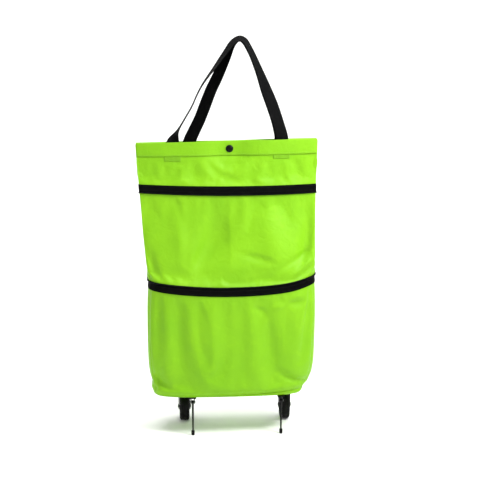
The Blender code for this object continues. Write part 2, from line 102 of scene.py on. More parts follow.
paper_material, _, paper_shader = new_material("studio_paper")
paper_shader.inputs["Base Color"].default_value = (*PAPER_WHITE, 1.0)
paper_shader.inputs["Roughness"].default_value = 0.9
paper.data.materials.append(paper_material)


def soft_lamp(name, place, aim, width, power):
    lamp_data = bpy.data.lights.new(name, "AREA")
    lamp_data.shape = "SQUARE"
    lamp_data.size = width
    lamp_data.energy = power
    lamp = bpy.data.objects.new(name, lamp_data)
    lamp.location = place
    lamp.rotation_euler = (Vector(aim) - Vector(place)).to_track_quat("-Z", "Y").to_euler()
    scene.collection.objects.link(lamp)


soft_lamp("key_lamp", (0.66, -0.48, 1.16), (0.04, -0.04, 0.54), 0.36, 18.0)
soft_lamp("fill_lamp", (-1.9, -2.0, 1.5), (0.0, 0.0, 0.35), 1.4, 4.0)
soft_lamp("top_lamp", (0.0, 0.2, 3.6), (0.0, 0.2, 0.0), 3.0, 130.0)
soft_lamp("wall_lamp", (0.0, 2.4, 3.4), (0.0, 4.5, 1.0), 2.0, 70.0)

AIR_LIGHT = 0.30
world = bpy.data.worlds.new("studio_air")
world.use_nodes = True
air = world.node_tree.nodes["Background"]
air.inputs["Color"].default_value = (1.0, 1.0, 1.0, 1.0)
air.inputs["Strength"].default_value = AIR_LIGHT
scene.world = world
scene.view_settings.view_transform = "Standard"

# The lens looks slightly down on the bag from a little left of its front.
AIM = Vector((0.0145, 0.0, 0.366))
LENS_DISTANCE = 2.6
LENS_UP = math.radians(11.5)
LENS_TURN = math.radians(-3.4)
LENS_MM = 93.46
SENSOR_MM = 36.0
camera_data = bpy.data.cameras.new("camera")
camera_data.sensor_fit = "VERTICAL"
camera_data.sensor_height = SENSOR_MM
camera_data.lens = LENS_MM
camera = bpy.data.objects.new("camera", camera_data)
towards = Vector((math.sin(LENS_TURN) * math.cos(LENS_UP), -math.cos(LENS_TURN) * math.cos(LENS_UP),
                  math.sin(LENS_UP)))
camera.location = AIM + LENS_DISTANCE * towards
camera.rotation_euler = (-towards).to_track_quat("-Z", "Y").to_euler()
scene.collection.objects.link(camera)
scene.camera = camera


# ---------- Lime cloth ----------
# Thin plain-weave polyester with a coated back: bright lime with deeper and paler clouds in
# it, a slight gloss, and small soft creases from having been folded away.

LIME = (0.190, 0.445, 0.003)
LIME_DEEP = (0.160, 0.396, 0.002)
LIME_PALE = (0.226, 0.498, 0.008)
HEM_LIME = (0.180, 0.424, 0.003)
HEM_DEEP = (0.152, 0.376, 0.002)
PATCH_LIME = (0.132, 0.320, 0.004)


def new_group(name, inputs, outputs):
    """An empty shader node group with named inputs and outputs."""
    group = bpy.data.node_groups.new(name, "ShaderNodeTree")
    for label, value in inputs.items():
        socket = group.interface.new_socket(name=label, in_out="INPUT", socket_type="NodeSocketFloat")
        socket.default_value = value
    for label in outputs:
        group.interface.new_socket(name=label, in_out="OUTPUT", socket_type="NodeSocketFloat")
    group.nodes.new("NodeGroupInput").name = "in"
    group.nodes.new("NodeGroupOutput").name = "out"
    return group


def maths(tree, operation, first, second=None):
    """A Math node fed by sockets or plain numbers; gives its output socket."""
    node = tree.nodes.new("ShaderNodeMath")
    node.operation = operation
    for socket, value in zip(node.inputs, (first, second)):
        if value is None:
            continue
        if isinstance(value, (int, float)):
            socket.default_value = value
        else:
            tree.links.new(value, socket)
    return node.outputs[0]


def noise(tree, coordinates, scale, detail=3.0, roughness=0.5, distortion=0.0):
    node = tree.nodes.new("ShaderNodeTexNoise")
    node.inputs["Scale"].default_value = scale
    node.inputs["Detail"].default_value = detail
    node.inputs["Roughness"].default_value = roughness
    node.inputs["Distortion"].default_value = distortion
    tree.links.new(coordinates, node.inputs["Vector"])
    return node.outputs["Fac"]


def spread(tree, value, low, high, to_low=0.0, to_high=1.0):
    node = tree.nodes.new("ShaderNodeMapRange")
    node.inputs["From Min"].default_value = low
    node.inputs["From Max"].default_value = high
    node.inputs["To Min"].default_value = to_low
    node.inputs["To Max"].default_value = to_high
    tree.links.new(value, node.inputs["Value"])
    return node.outputs["Result"]


def blend_colours(tree, factor, first, second):
    node = tree.nodes.new("ShaderNodeMix")
    node.data_type = "RGBA"
    tree.links.new(factor, node.inputs["Factor"])
    for socket, value in ((node.inputs[6], first), (node.inputs[7], second)):
        if isinstance(value, tuple):
            socket.default_value = (*value, 1.0)
        else:
            tree.links.new(value, socket)
    return node.outputs[2]


def raise_surface(tree, shader, height, distance):
    """Lets a height value lift the surface by up to a distance in metres."""
    bump = tree.nodes.new("ShaderNodeBump")
    bump.inputs["Strength"].default_value = 1.0
    bump.inputs["Distance"].default_value = distance
    tree.links.new(height, bump.inputs["Height"])
    tree.links.new(bump.outputs["Normal"], shader.inputs["Normal"])


def object_place(tree):
    return tree.nodes.new("ShaderNodeTexCoord").outputs["Object"]


weave_group = new_group("plain_weave", {"Threads Per Metre": 1100.0}, ["Height", "Thread"])
weave_in = weave_group.nodes["in"].outputs["Threads Per Metre"]
weave_place = weave_group.nodes.new("ShaderNodeSeparateXYZ")
weave_group.links.new(object_place(weave_group), weave_place.inputs[0])
across_cloth = maths(weave_group, "ADD", weave_place.outputs["X"], weave_place.outputs["Y"])
half_turns = maths(weave_group, "MULTIPLY", weave_in, math.pi)
warp = maths(weave_group, "SINE", maths(weave_group, "MULTIPLY", across_cloth, half_turns))
weft = maths(weave_group, "SINE", maths(weave_group, "MULTIPLY", weave_place.outputs["Z"], half_turns))
over_under = maths(weave_group, "MULTIPLY", warp, weft)
weave_group.links.new(spread(weave_group, over_under, -1.0, 1.0), weave_group.nodes["out"].inputs["Height"])
weave_group.links.new(maths(weave_group, "ABSOLUTE", over_under), weave_group.nodes["out"].inputs["Thread"])


def cloth_material(name, main, deep, pale):
    """The lime cloth in a main colour, with deeper and paler patches."""
    cloth, tree, shader = new_material(name)
    place = object_place(tree)
    weave = tree.nodes.new("ShaderNodeGroup")
    weave.node_tree = weave_group
    clouds = spread(tree, noise(tree, place, 9.0, 2.0, 0.5, 0.4), 0.34, 0.70)
    streaks = noise(tree, place, 60.0, 3.0, 0.6)
    shade = blend_colours(tree, clouds, deep, main)
    shade = blend_colours(tree, spread(tree, streaks, 0.52, 0.80, 0.0, 0.5), shade, pale)
    threads = spread(tree, weave.outputs["Thread"], 0.0, 1.0, 0.30, 0.0)
    shade = blend_colours(tree, threads, shade, deep)
    tree.links.new(shade, shader.inputs["Base Color"])
    tree.links.new(spread(tree, streaks, 0.3, 0.7, 0.46, 0.60), shader.inputs["Roughness"])
    shader.inputs["Specular IOR Level"].default_value = 0.22
    small_creases = noise(tree, place, 45.0, 4.0, 0.55, 1.2)
    fine = maths(tree, "MULTIPLY", weave.outputs["Height"], 0.10)
    raise_surface(tree, shader, maths(tree, "ADD", small_creases, fine), 0.0011)
    return cloth


lime_cloth = cloth_material("lime_oxford_cloth", LIME, LIME_DEEP, LIME_PALE)


# ---------- Bag walls ----------
# Twelve panels of the lime cloth: front, back and two folding side gussets on each of three
# levels. They hang from the hem and the zip tapes, and the cloth between them sags and creases.

base_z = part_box("lower_front_panel")[0].z
low_zip_z = (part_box("lower_front_panel")[1].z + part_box("middle_front_panel")[0].z) / 2
high_zip_z = (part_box("middle_front_panel")[1].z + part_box("upper_front_panel")[0].z) / 2
hem_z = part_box("upper_front_panel")[1].z

PANEL_COLUMNS = 72
GUSSET_COLUMNS = 24
GUSSET_HALF_WIDTH = 0.060
TAPE_HALF = 0.0090
TAPE_ROWS = 4
HEM_DEPTH = 0.0270
HEM_ROWS = 6
ROW_STEP = 0.0050

# Height, left edge, right edge, corner half depth, middle half depth, easing of the corners
CUT = (
    (0.080, -0.1680, 0.1345, 0.0560, 0.0640, 0.036),
    (0.090, -0.1700, 0.1425, 0.0575, 0.0670, 0.036),
    (0.110, -0.1715, 0.1520, 0.0580, 0.0700, 0.036),
    (0.137, -0.1755, 0.1575, 0.0580, 0.0720, 0.036),
    (0.190, -0.1795, 0.1595, 0.0580, 0.0735, 0.036),
    (0.240, -0.1810, 0.1610, 0.0570, 0.0725, 0.038),
    (0.275, -0.1770, 0.1600, 0.0545, 0.0695, 0.042),
    (0.300, -0.1735, 0.1575, 0.0520, 0.0665, 0.044),
    (0.345, -0.1790, 0.1575, 0.0445, 0.0605, 0.032),
    (0.390, -0.1825, 0.1580, 0.0365, 0.0495, 0.020),
    (0.440, -0.1865, 0.1585, 0.0265, 0.0370, 0.012),
    (0.492, -0.1905, 0.1595, 0.0150, 0.0250, 0.010),
    (0.545, -0.1945, 0.1618, 0.0090, 0.0150, 0.004),
    (0.585, -0.1965, 0.1629, 0.0070, 0.0105, 0.002),
)


def cut_at(z):
    """The walls' sizes at a height, read between the cut's own heights."""
    heights = [row[0] for row in CUT]
    return [float(np.interp(z, heights, [row[i] for row in CUT])) for i in range(1, 6)]


def round_off(loop, distance):
    """A closed loop with its corners eased over a distance, by a Gaussian along its length."""
    steps = np.linalg.norm(np.roll(loop, -1, 0) - loop, axis=1)
    reach = distance / max(1e-6, steps.mean())
    waves = np.fft.fftfreq(len(loop))
    keep = np.exp(-0.5 * (2 * math.pi * waves * reach) ** 2)
    return np.real(np.fft.ifft(np.fft.fft(loop, axis=0) * keep[:, None], axis=0))


PANEL_BOW = 2.2
GUSSET_NOSE = 0.006
NOSE_SHARE = 0.2


def wall_loop(z):
    """One row round the bag: front left to right, right gusset, back, left gusset."""
    left, right, corner, middle, ease = cut_at(z)
    half = (right - left) / 2
    fold = math.sqrt(max(0.0, GUSSET_HALF_WIDTH ** 2 - corner ** 2))
    nose = min(GUSSET_NOSE, (corner - GUSSET_NOSE / 2) * 0.7)
    across = np.linspace(-1.0, 1.0, PANEL_COLUMNS + 1)[:-1]
    bow = corner + (middle - corner) * (1.0 - np.abs(across) ** PANEL_BOW)
    front = np.column_stack((half * across, -bow))
    away = np.linspace(-1.0, 1.0, GUSSET_COLUMNS + 1)[:-1]
    leg = np.clip((np.abs(away) - NOSE_SHARE) / (1.0 - NOSE_SHARE), 0.0, 1.0)
    depth = nose * np.minimum(1.0, np.abs(away) / NOSE_SHARE) + (corner - nose) * leg
    side = np.column_stack((half - fold * (1.0 - leg), np.copysign(depth, away)))
    loop = round_off(np.vstack((front, side, -front, -side)), ease)
    loop[:, 0] *= half / np.abs(loop[:, 0]).max()
    loop[:, 1] *= middle / np.abs(loop[:, 1]).max()
    loop[:, 0] += (right + left) / 2
    return loop


def spaced_rows(low, high):
    """Row heights from low up to just under high."""
    count = max(2, round((high - low) / ROW_STEP))
    return list(np.linspace(low, high, count + 1)[:-1])


row_heights = spaced_rows(base_z, low_zip_z - TAPE_HALF)
low_tape_row = len(row_heights)
row_heights += list(np.linspace(low_zip_z - TAPE_HALF, low_zip_z + TAPE_HALF, TAPE_ROWS + 1)[:-1])
row_heights += spaced_rows(low_zip_z + TAPE_HALF, high_zip_z - TAPE_HALF)
high_tape_row = len(row_heights)
row_heights += list(np.linspace(high_zip_z - TAPE_HALF, high_zip_z + TAPE_HALF, TAPE_ROWS + 1)[:-1])
row_heights += spaced_rows(high_zip_z + TAPE_HALF, hem_z - HEM_DEPTH)
hem_row = len(row_heights)
row_heights += list(np.linspace(hem_z - HEM_DEPTH, hem_z, HEM_ROWS + 1))
low_zip_row = low_tape_row + TAPE_ROWS // 2
high_zip_row = high_tape_row + TAPE_ROWS // 2
top_row = len(row_heights) - 1
columns = 2 * (PANEL_COLUMNS + GUSSET_COLUMNS)

# The open mouth, the tapes and the base hang a little out of level, and each zip droops.
LEVEL_HEIGHTS = (base_z, low_zip_z, high_zip_z, hem_z)
TILTS = (0.0042, 0.0010, -0.0012, 0.0035)
RAISES = (0.0065, 0.0085, 0.0020, 0.0)
DROOPS = (0.0045, 0.0120, 0.0040, 0.0)
END_LIFT = 0.0070
END_LIFT_HIGH = 0.05
END_LIFT_WIDE = 0.22
walls = np.zeros((len(row_heights), columns, 3))
for row, z in enumerate(row_heights):
    loop = wall_loop(z)
    share = (loop[:, 0] - loop[:, 0].mean()) / np.abs(loop[:, 0] - loop[:, 0].mean()).max()
    tilt, rise, droop = (np.interp(z, LEVEL_HEIGHTS, values) for values in (TILTS, RAISES, DROOPS))
    lift = END_LIFT * math.exp(-((z - low_zip_z) / END_LIFT_HIGH) ** 2)
    lift = lift * np.exp(-((share - 1.0) / END_LIFT_WIDE) ** 2)
    walls[row, :, :2] = loop
    walls[row, :, 2] = z + rise + tilt * share - droop * np.clip(1.0 - share ** 2, 0.0, 1.0) + lift

# The closed snap draws the middle of the mouth together.
SNAP_X = -0.0115
SNAP_PINCHED = 0.0042
PINCH_BELOW = 0.045
PINCH_RAMP = 0.035
PINCH_FLAT = 0.008
PINCH_REACH = 0.034
snap_z = (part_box("snap_cap")[0].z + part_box("snap_cap")[1].z) / 2
draw = np.clip((walls[:, :, 2] - (snap_z - PINCH_BELOW)) / PINCH_RAMP, 0.0, 1.0)
draw = draw * draw * (3 - 2 * draw)
beyond_snap = np.maximum(0.0, np.abs(walls[:, :, 0] - SNAP_X) - PINCH_FLAT)
near_snap = np.exp(-(beyond_snap / PINCH_REACH) ** 2)
pinched = np.sign(walls[:, :, 1]) * np.minimum(np.abs(walls[:, :, 1]), SNAP_PINCHED)
walls[:, :, 1] += (pinched - walls[:, :, 1]) * draw * near_snap

# Folds pressed into the cloth: x, z at one end, x, z at the other, half width, depth inward.
FRONT_FOLDS = (
    (-0.015, 0.440, -0.088, 0.335, 0.0300, 0.0165),
    (-0.120, 0.470, -0.100, 0.330, 0.0160, -0.0049),
    (0.060, 0.470, 0.085, 0.330, 0.0300, -0.0083),
    (0.146, 0.430, 0.128, 0.330, 0.0120, 0.0083),
    (0.154, 0.350, 0.105, 0.312, 0.0075, -0.0066),
    (0.158, 0.372, 0.085, 0.338, 0.0060, 0.0049),
    (0.010, 0.372, 0.075, 0.352, 0.0060, 0.0036),
    (-0.168, 0.365, -0.158, 0.315, 0.0070, 0.0049),
    (-0.013, 0.470, -0.010, 0.345, 0.0050, -0.0012),
    (-0.012, 0.548, -0.012, 0.505, 0.0050, -0.0009),
    (-0.115, 0.275, -0.110, 0.130, 0.0230, 0.0107),
    (-0.060, 0.270, -0.045, 0.120, 0.0260, -0.0066),
    (0.030, 0.268, 0.060, 0.248, 0.0060, 0.0049),
    (0.070, 0.276, 0.140, 0.262, 0.0070, 0.0066),
    (0.075, 0.262, 0.135, 0.282, 0.0055, -0.0049),
    (0.060, 0.240, 0.075, 0.120, 0.0220, 0.0083),
    (-0.168, 0.128, -0.135, 0.092, 0.0065, 0.0066),
    (-0.150, 0.150, -0.160, 0.092, 0.0060, 0.0049),
    (0.085, 0.125, 0.140, 0.092, 0.0075, 0.0074),
    (-0.078, 0.550, -0.085, 0.505, 0.0120, 0.0029),
    (0.010, 0.548, 0.020, 0.505, 0.0150, -0.0021),
    (0.118, 0.548, 0.128, 0.505, 0.0120, 0.0031),
)
BACK_FOLDS = (
    (-0.080, 0.460, -0.040, 0.330, 0.0260, 0.0099),
    (0.050, 0.470, 0.020, 0.340, 0.0220, -0.0066),
    (0.130, 0.450, 0.110, 0.330, 0.0160, 0.0083),
    (-0.160, 0.360, -0.110, 0.318, 0.0070, 0.0049),
    (-0.120, 0.260, -0.090, 0.130, 0.0240, 0.0099),
    (0.000, 0.270, -0.010, 0.120, 0.0260, -0.0066),
    (0.090, 0.250, 0.110, 0.110, 0.0240, 0.0099),
    (0.110, 0.275, 0.050, 0.262, 0.0070, 0.0058),
    (-0.150, 0.120, -0.110, 0.092, 0.0070, 0.0066),
    (0.100, 0.548, 0.090, 0.505, 0.0140, 0.0026),
)
FOLD_END_REACH = 1.6


def fold_depth(x, z, folds):
    """How far the pressed folds push the cloth inward at each point."""
    depth = np.zeros_like(x)
    for x0, z0, x1, z1, half, deep in folds:
        run = np.array((x1 - x0, z1 - z0))
        length = float(np.linalg.norm(run))
        along = ((x - x0) * run[0] + (z - z0) * run[1]) / length ** 2
        off = ((x - x0) * run[1] - (z - z0) * run[0]) / length
        end = np.clip(along, 0.0, 1.0)
        past = np.abs(along - end) * length / (half * FOLD_END_REACH)
        swell = np.sin(math.pi * (0.12 + 0.76 * end))
        depth += deep * np.exp(-(off / half) ** 2 - past ** 2) * swell
    return depth


HELD_EDGE = 0.002
HELD_BY_BASE = 0.006
FREE_RAMP = 0.020


def free_share(z):
    """Nought where the cloth is held by a tape, the hem or the base, one where it hangs free."""
    share = np.ones_like(z)
    for held, reach in ((base_z, HELD_BY_BASE), (low_zip_z, TAPE_HALF + HELD_EDGE),
                        (high_zip_z, TAPE_HALF + HELD_EDGE), (hem_z, HEM_DEPTH + HELD_EDGE)):
        share *= np.clip((np.abs(z - held) - reach) / FREE_RAMP, 0.0, 1.0)
    return share


FACING_DEPTH = 0.012
row_z = np.repeat(np.array(row_heights)[:, None], columns, 1)
for side, folds in ((-1, FRONT_FOLDS), (1, BACK_FOLDS)):
    facing = np.clip(walls[:, :, 1] * side / FACING_DEPTH, 0.0, 1.0)
    inward = fold_depth(walls[:, :, 0], row_z, folds) * free_share(row_z) * facing
    walls[:, :, 1] -= side * inward

# One corner of the base seam sticks out as a small ear.
EAR_AT = (0.1330, -0.0440, 0.0830)
EAR_REACH = 0.0085
EAR_OUT = (0.0120, -0.0040, -0.0005)
EAR_SPREAD = (1.0, 1.6, 0.8)
to_ear = np.linalg.norm((walls - np.array(EAR_AT)) / EAR_SPREAD, axis=2)
walls += np.exp(-(to_ear / EAR_REACH) ** 2)[:, :, None] * np.array(EAR_OUT)


def tube_faces(rows, count, closed=True):
    """Quads of a grid of rows, closed round or open across."""
    faces = []
    for row in range(rows - 1):
        for i in range(count if closed else count - 1):
            j = (i + 1) % count
            faces.append((row * count + i, row * count + j, (row + 1) * count + j, (row + 1) * count + i))
    return faces


def smooth_mesh(name, points, faces):
    mesh = bpy.data.meshes.new(name)
    mesh.from_pydata(np.asarray(points).reshape(-1, 3).tolist(), [], faces)
    mesh.update()
    mesh.shade_smooth()
    return mesh


def grid_mesh(name, grid, closed=False):
    """A mesh of quads from a grid of points, open or closed across its rows."""
    return smooth_mesh(name, grid, tube_faces(grid.shape[0], grid.shape[1], closed))


def place_object(name, mesh, material=None):
    """Puts a mesh in the scene as an object, in a material if it has one."""
    piece = bpy.data.objects.new(name, mesh)
    scene.collection.objects.link(piece)
    if material is not None:
        piece.data.materials.append(material)
    return piece


SLACK = 0.009
SETTLE_FRAMES = 20
MOST_MOVE = 0.006
HELD_BELOW_HEM = 0.013


def settle_cloth(rows):
    """Lets the cloth between the hem, the tapes and the base find its own creases."""
    bag = place_object("cloth_trial", grid_mesh("cloth_trial", rows, closed=True))
    held = bag.vertex_groups.new(name="held")
    count = rows.shape[1]
    for row in range(rows.shape[0]):
        on_tape = low_tape_row <= row <= low_tape_row + TAPE_ROWS or \
            high_tape_row <= row <= high_tape_row + TAPE_ROWS
        by_hem = row_heights[row] > hem_z - HEM_DEPTH - HELD_BELOW_HEM
        grip = 1.0 if on_tape or row <= 1 or by_hem else 0.0
        held.add(range(row * count, (row + 1) * count), grip, "REPLACE")
    cloth = bag.modifiers.new("cloth", "CLOTH")
    settings = cloth.settings
    settings.quality = 7
    settings.mass = 0.12
    settings.tension_stiffness = 12.0
    settings.compression_stiffness = 12.0
    settings.shear_stiffness = 4.0
    settings.bending_stiffness = 5.0
    settings.tension_damping = 12.0
    settings.compression_damping = 12.0
    settings.bending_damping = 1.0
    settings.air_damping = 3.0
    settings.vertex_group_mass = "held"
    settings.pin_stiffness = 1.0
    settings.shrink_min = -SLACK
    settings.use_pressure = True
    settings.uniform_pressure_force = 0.5
    cloth.collision_settings.use_collision = False
    cloth.collision_settings.use_self_collision = False
    cloth.point_cache.frame_start = 1
    cloth.point_cache.frame_end = SETTLE_FRAMES
    for number in range(1, SETTLE_FRAMES + 1):
        scene.frame_set(number)
    settled = bag.evaluated_get(bpy.context.evaluated_depsgraph_get())
    found = np.empty(rows.size)
    settled.data.vertices.foreach_get("co", found)
    scene.frame_set(1)
    bpy.data.objects.remove(bag, do_unlink=True)
    moved = found.reshape(rows.shape) - rows
    length = np.linalg.norm(moved, axis=2, keepdims=True)
    return rows + moved * np.minimum(1.0, MOST_MOVE / np.maximum(length, 1e-9))


walls = settle_cloth(walls)


def outward_of(rows):
    """Unit normals that point out of a closed grid of rows."""
    along = np.roll(rows, -1, 1) - np.roll(rows, 1, 1)
    up = np.gradient(rows, axis=0)
    out = np.cross(along, up)
    return out / np.maximum(np.linalg.norm(out, axis=2, keepdims=True), 1e-9)


wall_out = outward_of(walls)

# Panels meet in seams, which draw the cloth in along each upright corner and round the base.
SEAM_DRAWN = 0.0009
SEAM_COLUMNS = (0, PANEL_COLUMNS, PANEL_COLUMNS + GUSSET_COLUMNS, 2 * PANEL_COLUMNS + GUSSET_COLUMNS)
shell = walls.copy()
for column in SEAM_COLUMNS:
    shell[:, column] -= SEAM_DRAWN * wall_out[:, column]
shell[0] -= SEAM_DRAWN * wall_out[0]

CLOTH_THICKNESS = 0.0006
panel_columns = {
    "front_panel": range(0, PANEL_COLUMNS + 1),
    "right_gusset": range(PANEL_COLUMNS, PANEL_COLUMNS + GUSSET_COLUMNS + 1),
    "back_panel": range(PANEL_COLUMNS + GUSSET_COLUMNS, 2 * PANEL_COLUMNS + GUSSET_COLUMNS + 1),
    "left_gusset": range(2 * PANEL_COLUMNS + GUSSET_COLUMNS, columns + 1),
}
level_rows = {
    "lower": range(0, low_zip_row + 1),
    "middle": range(low_zip_row, high_zip_row + 1),
    "upper": range(high_zip_row, top_row + 1),
}


def finish_mesh(piece):
    """Applies every modifier, so that the piece's mesh is its final one."""
    bpy.context.view_layer.update()
    final = bpy.data.meshes.new_from_object(piece.evaluated_get(bpy.context.evaluated_depsgraph_get()))
    piece.modifiers.clear()
    piece.data = final


def subdivide(piece):
    smooth = piece.modifiers.new("smooth", "SUBSURF")
    smooth.levels = smooth.render_levels = 1
    return piece


def thicken(piece, thickness, offset=-1.0):
    solid = piece.modifiers.new("thickness", "SOLIDIFY")
    solid.thickness = thickness
    solid.offset = offset
    return piece


def collapse_with_zip(piece):
    """Gives the middle-level cloth a mesh of its own; nothing here crumples it down onto the lower tape."""
    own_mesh(piece)


for level, rows in level_rows.items():
    for word, across in panel_columns.items():
        grid = shell[np.ix_(list(rows), [c % columns for c in across])]
        panel = place_object(f"{level}_{word}_cloth", grid_mesh(f"{level}_{word}_cloth", grid), lime_cloth)
        finish_mesh(thicken(subdivide(panel), CLOTH_THICKNESS))
        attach(panel, "upper_section" if level == "upper" else "bag")
        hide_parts(f"{level}_{word}")
        if level == "middle":
            collapse_with_zip(panel)


# ---------- Hem ----------
# A strip of the same cloth folded over the mouth's raw edge and sewn down with one row of
# lime thread. Small patches under it, two to a side, back the ends of the carrying straps.

HEM_LIFT = 0.0010
HEM_CLOTH = 0.0006
FOLD_STEPS = 7

hem_rows = shell[hem_row:top_row + 1]
hem_out = wall_out[hem_row:top_row + 1]
fold_over = []
for angle in np.linspace(0.0, math.pi, FOLD_STEPS)[1:-1]:
    crest = hem_rows[-1] + hem_out[-1] * HEM_LIFT * math.cos(angle)
    crest[:, 2] += HEM_LIFT * math.sin(angle)
    fold_over.append(crest)
hem_grid = np.concatenate((hem_rows + hem_out * HEM_LIFT, np.array(fold_over),
                           (hem_rows - hem_out * HEM_LIFT)[::-1]))
hem_cloth = cloth_material("hem_cloth", HEM_LIME, HEM_DEEP, LIME)
hem_band = place_object("hem_band", grid_mesh("hem_band", hem_grid, closed=True), hem_cloth)
finish_mesh(thicken(subdivide(hem_band), HEM_CLOTH, 0.0))
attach(hem_band, "upper_section")

thread_material, thread_tree, thread_shader = new_material("sewing_thread")
thread_twist = noise(thread_tree, object_place(thread_tree), 2400.0, 1.0)
thread_tree.links.new(blend_colours(thread_tree, thread_twist, LIME_DEEP, LIME_PALE),
                      thread_shader.inputs["Base Color"])
thread_tree.links.new(spread(thread_tree, thread_twist, 0.3, 0.7, 0.35, 0.6),
                      thread_shader.inputs["Roughness"])
raise_surface(thread_tree, thread_shader, thread_twist, 0.0002)

HEM_STITCH = 0.0034
TAPE_STITCH = 0.0030
STITCH_GAP = 0.0009
THREAD_RADIUS = 0.00028
THREAD_SIDES = 6


def walk(line, step):
    """Start and end points of stitches along a line of points."""
    lengths = np.linalg.norm(np.diff(line, axis=0), axis=1)
    reached = np.concatenate(((0.0,), np.cumsum(lengths)))
    pairs = []
    at = STITCH_GAP
    while at + step < reached[-1]:
        pairs.append([np.array([np.interp(end, reached, line[:, k]) for k in range(3)])
                      for end in (at, at + step)])
        at += step + STITCH_GAP
    return pairs


STITCH_SHAPE = ((0.16, 0.85), (0.5, 1.0), (0.84, 0.85))


def stitch_mesh(name, lines, step):
    """Rows of short rounded stitches: lines is a list of (points, outward direction) pairs."""
    points, faces = [], []
    for line, out in lines:
        for start, end in walk(line, step):
            run = end - start
            run /= max(1e-9, np.linalg.norm(run))
            up = out(0.5 * (start + end))
            side = np.cross(run, up)
            side /= max(1e-9, np.linalg.norm(side))
            first = len(points)
            points.append(start - up * THREAD_RADIUS)
            for share, wide in STITCH_SHAPE:
                middle = start + (end - start) * share
                for k in range(THREAD_SIDES):
                    turn = 2 * math.pi * k / THREAD_SIDES
                    around = math.cos(turn) * side + math.sin(turn) * up
                    points.append(middle + THREAD_RADIUS * wide * around)
            last = len(points)
            points.append(end - up * THREAD_RADIUS)
            for k in range(THREAD_SIDES):
                m = (k + 1) % THREAD_SIDES
                ring = first + 1
                faces.append((first, ring + m, ring + k))
                while ring + THREAD_SIDES < last:
                    following = ring + THREAD_SIDES
                    faces.append((ring + k, ring + m, following + m, following + k))
                    ring = following
                faces.append((ring + k, ring + m, last))
    return smooth_mesh(name, points, faces)


def row_line(row, lift, share=0.0):
    """The points of one wall row, or between it and the next, lifted off the cloth."""
    line = shell[row] * (1 - share) + shell[row + 1] * share + wall_out[row] * lift
    return np.vstack((line, line[:1]))


def out_of_row(row):
    """The outward direction at the column nearest to a point of a row."""
    def out(point):
        return wall_out[row, int(np.argmin(np.linalg.norm(shell[row] - point, axis=1)))]
    return out


hem_seam = row_line(hem_row, HEM_LIFT + HEM_CLOTH / 2 + THREAD_RADIUS * 0.3, 0.75)
hem_stitches = place_object("hem_stitches",
                            stitch_mesh("hem_stitches", [(hem_seam, out_of_row(hem_row))], HEM_STITCH),
                            thread_material)
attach(hem_stitches, "upper_section")


def surface_point(x, z, side):
    """The cloth's point and outward direction on the front (-1) or back (1) at x and z."""
    first = 0 if side < 0 else PANEL_COLUMNS + GUSSET_COLUMNS
    across = shell[:, first:first + PANEL_COLUMNS + 1]
    out = wall_out[:, first:first + PANEL_COLUMNS + 1]
    gap = (across[:, :, 0] - x) ** 2 + (across[:, :, 2] - z) ** 2
    nearest = np.argsort(gap, axis=None)[:4]
    weight = 1.0 / (gap.ravel()[nearest] + 1e-8)
    weight /= weight.sum()
    spot = (across.reshape(-1, 3)[nearest] * weight[:, None]).sum(0)
    normal = (out.reshape(-1, 3)[nearest] * weight[:, None]).sum(0)
    return np.array((x, spot[1], z)), normal / np.linalg.norm(normal)


PATCH_HALF = 0.0165
PATCH_DROP = 0.0085
PATCH_UNDER_HEM = 0.006
PATCH_CLOTH = 0.0005
PATCH_ROWS = 9
PATCH_COLUMNS = 13
MOUTH_MIDDLE_X = -0.0165
MOUTH_HALF = 0.18
FRONT_ENDS = (-0.1235, 0.0905)
BACK_ENDS = (-0.0925, 0.0900)
patch_cloth = cloth_material("patch_cloth", PATCH_LIME, PATCH_LIME, HEM_LIME)
hem_low = hem_z - HEM_DEPTH
for side, word, ends in ((-1, "front", FRONT_ENDS), (1, "back", BACK_ENDS)):
    for end_x, hand in zip(ends, ("left", "right")):
        grid = np.zeros((PATCH_ROWS, PATCH_COLUMNS, 3))
        tilt = TILTS[-1] * (end_x - MOUTH_MIDDLE_X) / MOUTH_HALF
        for r, drop in enumerate(np.linspace(-PATCH_DROP, PATCH_UNDER_HEM, PATCH_ROWS)):
            for c, off in enumerate(np.linspace(-PATCH_HALF, PATCH_HALF, PATCH_COLUMNS)):
                spot, out = surface_point(end_x + off * -side, hem_low + drop + tilt, side)
                grid[r, c] = spot + out * PATCH_CLOTH
        patch = place_object(f"{word}_{hand}_strap_patch", grid_mesh(f"{word}_{hand}_strap_patch", grid),
                             patch_cloth)
        finish_mesh(thicken(subdivide(patch), PATCH_CLOTH, 0.0))
        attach(patch, "upper_section")


# ---------- Closing snap ----------
# A black moulded press snap through both hems: a domed cap in front, a flat post behind, and
# the socket and stud between them that click together and hold the mouth shut.

BLACK = (0.0018, 0.0018, 0.0020)
BLACK_WORN = (0.006, 0.006, 0.0065)

grain_group = new_group("moulded_grain", {"Grains Per Metre": 900.0}, ["Height", "Scuffs"])
grain_place = object_place(grain_group)
grain_scale = grain_group.nodes["in"].outputs["Grains Per Metre"]
grain_node = grain_group.nodes.new("ShaderNodeTexNoise")
grain_node.inputs["Detail"].default_value = 2.0
grain_group.links.new(grain_place, grain_node.inputs["Vector"])
grain_group.links.new(grain_scale, grain_node.inputs["Scale"])
grain_group.links.new(grain_node.outputs["Fac"], grain_group.nodes["out"].inputs["Height"])
scuff_noise = noise(grain_group, grain_place, 130.0, 5.0, 0.65, 1.5)
grain_group.links.new(spread(grain_group, scuff_noise, 0.56, 0.72), grain_group.nodes["out"].inputs["Scuffs"])


